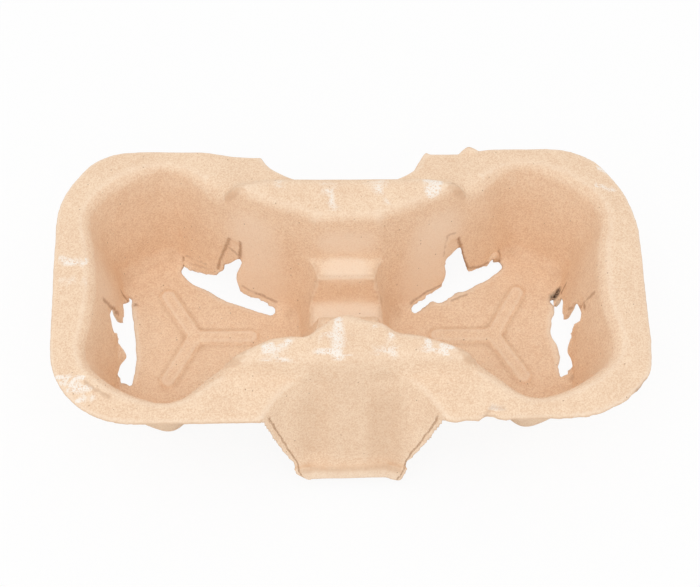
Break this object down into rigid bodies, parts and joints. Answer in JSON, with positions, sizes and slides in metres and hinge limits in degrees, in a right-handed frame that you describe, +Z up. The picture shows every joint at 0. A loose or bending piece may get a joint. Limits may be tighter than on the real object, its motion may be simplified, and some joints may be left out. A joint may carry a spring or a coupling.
{
  "type": "moulded fibre cup carrier",
  "caption": "Moulded paper-fibre carrier for drinks cups: lobed tapered pockets with slit flex panels, a sloping rim, raised humps and grip tabs.",
  "frame": {"origin": "midway between the pockets, on the table it stands on", "axes": "+X along the row of cups, -Y towards the front grip in the picture, +Z up"},
  "size_m": [0.2156, 0.1234, 0.0555],
  "materials": {
    "pulp": "matte fibrous"
  },
  "bodies": {
    "root": {"cup_carrier": "pulp"}
  },
  "joints": []
}
